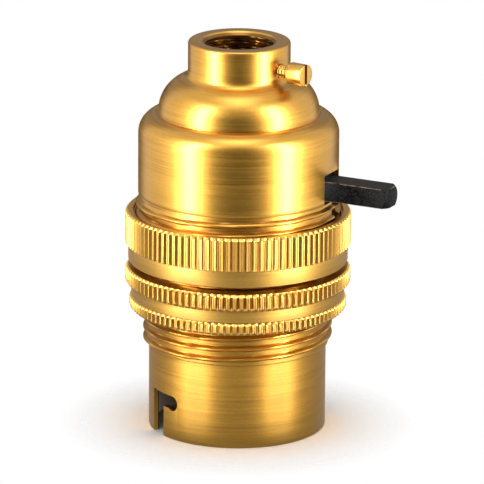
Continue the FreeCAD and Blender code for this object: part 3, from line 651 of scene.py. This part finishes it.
def make_upper_shade_ring():
    """A ring with a plain band below its knurl."""
    bore = 14.4
    band = 16.1
    crest = 17.0
    make_ring("upper_shade_ring", rounded([
        (bore, 20.40), (band, 20.40, 0.12), (band, 22.35), *slope((16.5, 22.35), (crest, 22.85)),
        *slope((crest, 24.5), (16.5, 25.0)), (bore, 25.0)]), crest, 0.5)


def make_union_ring():
    """A ring with a plain band and a lip under the skirt's flange."""
    lip = 14.6
    bore = 15.55
    mouth = 15.8
    band = 16.58
    crest = 17.0
    make_ring("union_ring", rounded([
        (lip, 26.0, 0.1), (band, 26.0, 0.2), (band, 28.6), (16.85, 28.6), (crest, 28.75, 0.05),
        (crest, 33.3, 0.15), (16.55, 33.7, 0.12), (mouth, 33.7, 0.08), (mouth, 33.2), (bore, 33.2),
        (bore, 27.2), (lip, 27.2)]), crest, 0.40)


def cap_section():
    """The cap's wall, shoulder, dome and neck, up the outside and down the inside."""
    collar = 14.9
    barrel = 15.1
    bore = 14.2
    shoulder = 12.1
    shoulder_height = 45.65
    shoulder_bend = 3.0
    dome_axis = 6.6
    dome_height = 49.0
    dome = 5.5
    fillet = 1.3
    neck = 7.68
    neck_bore = 5.15
    neck_bore_foot = 53.6
    top = 59.8
    sheet = 0.9
    climb = math.sqrt((dome + fillet) ** 2 - (neck + fillet - dome_axis) ** 2)
    lean = math.degrees(math.atan2(climb, neck + fillet - dome_axis))
    outside = rounded([(14.3, 29.2), (collar, 29.2)])
    outside += wall(collar, 29.3, 36.25, 0.1)
    outside += [(collar, 36.35), (15.0, 36.37), (15.07, 36.43), (barrel, 36.53)]
    outside += wall(barrel, 37.0, 43.5, 0.5)
    outside += arc((shoulder, shoulder_height), shoulder_bend, 0, 88, 16)
    outside += [(12.12, 48.67), (shoulder, 48.75)]
    outside += arc((dome_axis, dome_height), dome, 0, lean, 18)
    outside += arc((neck + fillet, dome_height + climb), fillet, 180 + lean, 180, 10)[1:]
    outside += [(neck, 56.0), (neck, 58.0)]
    outside += arc((neck - 0.4, 59.4), 0.4, 0, 90, 6)
    inside = rounded([(7.2, top), (5.72, top, 0.06), (neck_bore, 59.25)])[1:]
    inside += wall(neck_bore, 59.2, neck_bore_foot, 0.06)
    inside += [(dome_axis, neck_bore_foot)]
    inside += arc((dome_axis, dome_height), dome - sheet, 90, 0, 12)[1:]
    inside += [(11.2, 47.75), (shoulder, 47.75)]
    inside += arc((shoulder, shoulder_height), shoulder_bend - sheet, 90, 0, 8)[1:]
    inside += [(bore, 45.0), (bore, 29.3)]
    return outside + inside


def press_window_lips(cap):
    """Swell the wall outwards a little at the far upper corner of each window."""
    wall_core = 14.6
    lip_foot = 36.6
    lip_head = 43.4
    rise = 2.5
    depth = 0.25
    fade = 0.6
    for vert in cap.data.vertices:
        x, y, z = vert.co / MM
        radius = math.hypot(x, y)
        if radius < wall_core or not lip_foot < z < lip_head:
            continue
        beside = max(abs(y - BAR_LINE) - WINDOW_HALF, 0.0)
        above = max(z - WINDOW_TOP, 0.0)
        far_side = min(max((y - BAR_LINE) / 2.0, 0.0), 1.0)
        near_corner = math.exp(-(beside / fade) ** 2 - (above / fade) ** 2)
        swell = depth * far_side * near_corner * min(1.0, (z - lip_foot) / rise)
        vert.co.x += swell * MM * x / radius
        vert.co.y += swell * MM * y / radius


def make_cap():
    """The shell, with the collar's and the neck's threads, the bar's windows and the lock screw's hole."""
    cap = turned("cap_shell", cap_section(), 288)
    neck_pitch = 0.977
    roll_thread(cap, CAP_BRASS, COARSE_PITCH, depth=0.55, heights=(29.3, 36.3), radii=(14.6, 15.0),
                run_out=0.35, phase=0.33)
    roll_thread(cap, CAP_BRASS, neck_pitch, depth=0.5, heights=(53.7, 59.2), radii=(4.0, 5.4), run_out=0.2)
    window_side = BAR_LINE + WINDOW_HALF
    cutters = []
    for low_x, high_x in ((-17.0, -10.0), (10.0, 17.0)):
        cutters.append(block("window_punch", (low_x, BAR_LINE - WINDOW_HALF, WINDOW_FOOT),
                             (high_x, window_side, WINDOW_TOP)))
        cutters.append(block("notch_punch", (low_x, BAR_LINE + 0.5, 28.0), (high_x, window_side, 36.5)))
    drill = 1.08
    flutes = 32
    edge = [math.tau * index / flutes for index in range(flutes)]
    hole = prism("screw_drill", [(drill * math.cos(a), drill * math.sin(a)) for a in edge], 12.0)
    cutters.append(settle(hole, lock_screw_place()))
    press_window_lips(cap)
    carve(cap, *cutters)
    dress(cap, "cap", "holder", "satin_brass", CAP_BRASS)


def lock_screw_place():
    """Where the neck's lock screw lies: its own Z points out along its radius."""
    height = 56.3
    heading = -10.2
    return (Matrix.Translation((0, 0, height * MM)) @ Matrix.Rotation(math.radians(heading), 4, "Z")
            @ Matrix.Rotation(math.radians(90), 4, "Y"))


def make_neck_lock_screw():
    """A slotted cheese-head screw with a fine thread, its heights measured out from the holder's axis."""
    shank = 1.0
    head = 1.65
    head_top = 12.4
    section = [(0.0, 5.46), (0.8, 5.46), (shank, 5.7)] + wall(shank, 5.75, 9.65, 0.05)
    section += rounded([(shank, 9.7), (head, 9.7, 0.12), (head, head_top, 0.12), (0.0, head_top)])[1:]
    screw = turned("neck_lock_screw_turned", section, 64)
    fine_pitch = 0.5
    roll_thread(screw, CUT_BRASS, fine_pitch, depth=-0.14, heights=(5.8, 9.6), radii=(0.9, 1.02), run_out=0.2)
    carve(screw, block("slot_saw", (-2.0, -0.3, 11.8), (2.0, 0.3, 13.0)))
    settle(screw, lock_screw_place())
    dress(screw, "neck_lock_screw", "neck_lock_screw", "satin_brass", CUT_BRASS)


def make_push_bar():
    """Square bar, each end turned to a round nose, with the lugs that stop it inside."""
    tail = -15.3
    tip = 25.1
    half_width = 2.05
    half_height = 1.5
    lug = 2.6
    foot = BAR_HEIGHT - half_height
    top = BAR_HEIGHT + half_height
    bar = block("push_bar_moulded", (tail, BAR_LINE - half_width, foot), (tip, BAR_LINE + half_width, top))
    finishes = (BAR_BLACK, BAR_RUBBED_HIGHLIGHT)
    for material in finishes:
        bar.data.materials.append(material)
    # The broken edges take the pale finish, a painted edge highlight.
    ease_edges(bar, 0.1, over=35, finish=finishes.index(BAR_RUBBED_HIGHLIGHT))
    nose = [(1.66, 0.0), (1.76, 0.04), (2.05, 0.34), (2.3, 0.66), (2.6, 1.15)]
    section = [(0.0, tail)] + [(r, tail + z) for r, z in nose]
    section += [(r, tip - z) for r, z in reversed(nose)] + [(0.0, tip)]
    lathe = turned("bar_lathe", section, 96)
    along_bar = Matrix.Rotation(math.radians(90), 4, "Y")
    settle(lathe, Matrix.Translation((0, BAR_LINE * MM, BAR_HEIGHT * MM)) @ along_bar)
    combine(bar, lathe, "INTERSECT")
    lugs = block("lugs", (-1.0, BAR_LINE - lug, foot), (9.0, BAR_LINE + lug, top))
    combine(bar, ease_edges(lugs, 0.2), "UNION")
    carve(bar, block("rocker_notch", (2.95, -7.0, 36.0), (5.05, 7.0, 38.9)))
    dress(bar, "push_bar", "push_bar", "bar_plastic", *finishes)


def make_plunger_springs():
    """The plungers' springs: copies of their solids, in spring steel."""
    for side in ("left", "right"):
        node = f"plunger_spring_{side}"
        form = bmesh.new()
        form.from_mesh(frame["nodes"][node].data)
        spring = as_object(f"{node}_coil", form)
        dress(spring, node, "holder", "spring_steel", SPRING_STEEL)
        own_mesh(spring)


def finish_inner_nodes():
    """Materials of the pieces whose CAD shape stays."""
    finishes = {"moulding": MOULDING_WHITE, "contact_brass": CONTACT_BRASS, "spring_steel": SPRING_STEEL}
    for subpart in frame["record"]["subparts"]:
        if subpart["material_slot"] in finishes:
            mesh = frame["nodes"][subpart["node"]].data
            mesh.materials.clear()
            mesh.materials.append(finishes[subpart["material_slot"]])


# Studio

# The point that the camera and the lamps face
TARGET = Vector((0, 0, 0.03))
CAMERA_AZIMUTH = 26.8
CAMERA_ELEVATION = 16.17
CAMERA_DISTANCE = 0.8634
CAMERA_LENS = 425.8
CAMERA_ROLL = 0.39

# The photo's side in pixels, and the pixel across and down at which it shows the target
PHOTO_SIDE = 484
TARGET_PIXEL = (238.1, 231.7)


def around(azimuth, elevation, distance):
    """A point seen from the target at angles that start from the camera's."""
    a = math.radians(CAMERA_AZIMUTH + azimuth)
    e = math.radians(elevation)
    heading = Vector((math.sin(a) * math.cos(e), -math.cos(a) * math.cos(e), math.sin(e)))
    return TARGET + distance * heading


def make_floor():
    """A pale floor that takes the holder's shadow and fades into the white around it."""
    pale = (0.84, 0.84, 0.84)
    fade_start = 0.0145
    fade_end = 0.027
    material, main = new_material("pale_floor", Base_Color=paint(pale), Roughness=0.9, Specular_IOR_Level=0.0)
    dye = Dye(material)
    reach = dye.node("ShaderNodeVectorMath", operation="LENGTH")
    dye.feed(reach.inputs[0], dye.place())
    edge = dye.spread(reach.outputs["Value"], fade_start, fade_end)
    faded = dye.mix_shaders(edge, main.outputs[0], dye.step("ShaderNodeBsdfTransparent"))
    dye.feed(material.node_tree.nodes["Material Output"].inputs["Surface"], faded)
    floor = disc("floor", 0.6, 0.0)
    floor.data.materials.append(material)
    floor.visible_glossy = False


def make_softbox(name, place, size, power, diffuse=False):
    """An area lamp that faces the target, seen in gloss and, if asked, by dull surfaces too."""
    light = bpy.data.lights.new(name, "AREA")
    light.shape = "RECTANGLE"
    light.size, light.size_y = size
    light.energy = power
    lamp = bpy.data.objects.new(name, light)
    lamp.location = place
    lamp.visible_diffuse = diffuse
    lamp.rotation_mode = "QUATERNION"
    lamp.rotation_quaternion = (place - TARGET).to_track_quat("Z", "Y")
    bpy.context.scene.collection.objects.link(lamp)


def only_in_gloss(piece, tone):
    """Make a piece a plain card of one tone that only polished metal sees."""
    material = bpy.data.materials.new(piece.name)
    material.use_nodes = True
    material.node_tree.nodes.clear()
    dye = Dye(material)
    shine = dye.step("ShaderNodeEmission", {"Color": paint((tone, tone, tone))})
    dye.feed(dye.node("ShaderNodeOutputMaterial").inputs["Surface"], shine)
    piece.data.materials.append(material)
    for ray in ("camera", "diffuse", "shadow", "transmission"):
        setattr(piece, f"visible_{ray}", False)


def make_flag(name, azimuth, tone, low, high):
    """A dull upright card, so that brass shows depth against a white room."""
    width = 0.86
    distance = 0.5
    form = bmesh.new()
    foot = around(azimuth, 0, distance) - TARGET
    along = foot.cross(Vector((0, 0, 1))).normalized() * width / 2
    form.faces.new([form.verts.new(foot + side * along + Vector((0, 0, height)))
                    for side, height in ((-1, low), (1, low), (1, high), (-1, high))])
    only_in_gloss(as_object(name, form), tone)


def make_world():
    """White where the camera or gloss looks, and a little darker as light on dull surfaces."""
    world = bpy.data.worlds.new("studio")
    bpy.context.scene.world = world
    world.use_nodes = True
    dye = Dye(world)
    white = (1, 1, 1)
    seen = world.node_tree.nodes["Background"]
    seen.inputs["Color"].default_value = paint(white)
    unseen = dye.step("ShaderNodeBackground", {"Color": paint(white, 0.85)})
    path = dye.node("ShaderNodeLightPath")
    shown = path.outputs["Is Camera Ray"]
    for ray in ("Is Glossy Ray", "Is Transmission Ray"):
        shown = dye.math("MAXIMUM", shown, path.outputs[ray])
    surface = world.node_tree.nodes["World Output"].inputs["Surface"]
    dye.feed(surface, dye.mix_shaders(shown, unseen, seen.outputs[0]))


def make_studio():
    """Cards and lamps round the holder: dark in front and behind, a bright strip on either side."""
    dark = 0.03
    pale = 0.3
    split = 0.10
    top = 0.55
    foot = -0.4
    make_flag("front_flag", 0, dark, foot, top)
    make_flag("back_flag", 180, dark, foot, split)
    make_flag("back_card", 180, pale, split, top)
    only_in_gloss(disc("table_glow", 0.11, -0.0005), pale)
    strip = (0.12, 0.9)
    square = (0.3, 0.3)
    for name, azimuth in (("left_softbox", -57), ("right_softbox", 57)):
        make_softbox(name, around(azimuth, 8, 0.55), strip, power=8.0)
    make_softbox("top_softbox", around(0, 78, 0.6), square, power=0.7, diffuse=True)


def make_camera():
    """A long lens where the photo was taken from, with a small shift to the photo's framing."""
    data = bpy.data.cameras.new("camera")
    data.sensor_width = 36
    data.lens = CAMERA_LENS
    data.clip_start = 0.01
    data.clip_end = 20
    data.shift_x = (PHOTO_SIDE / 2 - TARGET_PIXEL[0]) / PHOTO_SIDE
    data.shift_y = (TARGET_PIXEL[1] - PHOTO_SIDE / 2) / PHOTO_SIDE
    camera = bpy.data.objects.new("camera", data)
    bpy.context.scene.collection.objects.link(camera)
    camera.location = around(0, CAMERA_ELEVATION, CAMERA_DISTANCE)
    back = (camera.location - TARGET).normalized()
    roll = Quaternion((0, 0, 1), math.radians(CAMERA_ROLL))
    camera.rotation_mode = "QUATERNION"
    camera.rotation_quaternion = back.to_track_quat("Z", "Y") @ roll
    bpy.context.scene.camera = camera


make_skirt()
make_lower_shade_ring()
make_upper_shade_ring()
make_union_ring()
make_cap()
make_neck_lock_screw()
make_push_bar()
make_plunger_springs()
finish_inner_nodes()
make_floor()
make_studio()
make_world()
make_camera()
bpy.context.scene.view_settings.view_transform = "Standard"
